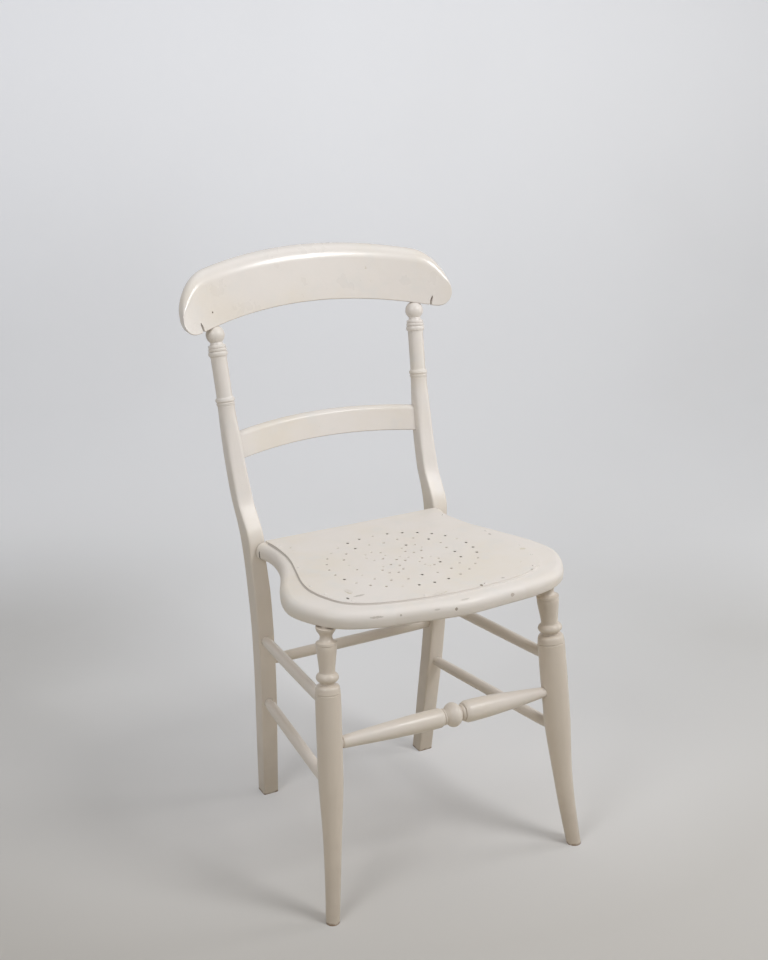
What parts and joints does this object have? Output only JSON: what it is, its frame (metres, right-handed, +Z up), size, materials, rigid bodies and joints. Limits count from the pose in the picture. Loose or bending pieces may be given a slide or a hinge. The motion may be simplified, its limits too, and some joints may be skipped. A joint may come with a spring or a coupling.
{
  "type": "painted wooden side chair",
  "caption": "Painted wooden bedroom side chair with a bowed crest rail, turned legs and stretchers, and a perforated plywood seat.",
  "frame": {"origin": "on the floor under the middle of the bounding box", "axes": "+Z up, -Y is the front of the chair, +X is the right side as seen by someone facing its front"},
  "size_m": [0.4574, 0.5241, 0.86],
  "materials": {
    "painted_wood": "old satin paint",
    "painted_ply": "old satin paint",
    "tack_steel": "rusty, mostly painted over"
  },
  "bodies": {
    "root": {"crest_rail": "painted_wood", "mid_rail": "painted_wood", "back_leg_left": "painted_wood", "back_leg_right": "painted_wood", "front_leg_left": "painted_wood", "front_leg_right": "painted_wood", "front_rail": "painted_wood", "side_rail_left": "painted_wood", "side_rail_right": "painted_wood", "back_rail": "painted_wood", "seat_panel": "painted_ply", "seat_tacks": "tack_steel", "front_stretcher": "painted_wood", "back_stretcher": "painted_wood", "upper_stretcher_left": "painted_wood", "upper_stretcher_right": "painted_wood", "lower_stretcher_left": "painted_wood", "lower_stretcher_right": "painted_wood"}
  },
  "joints": []
}
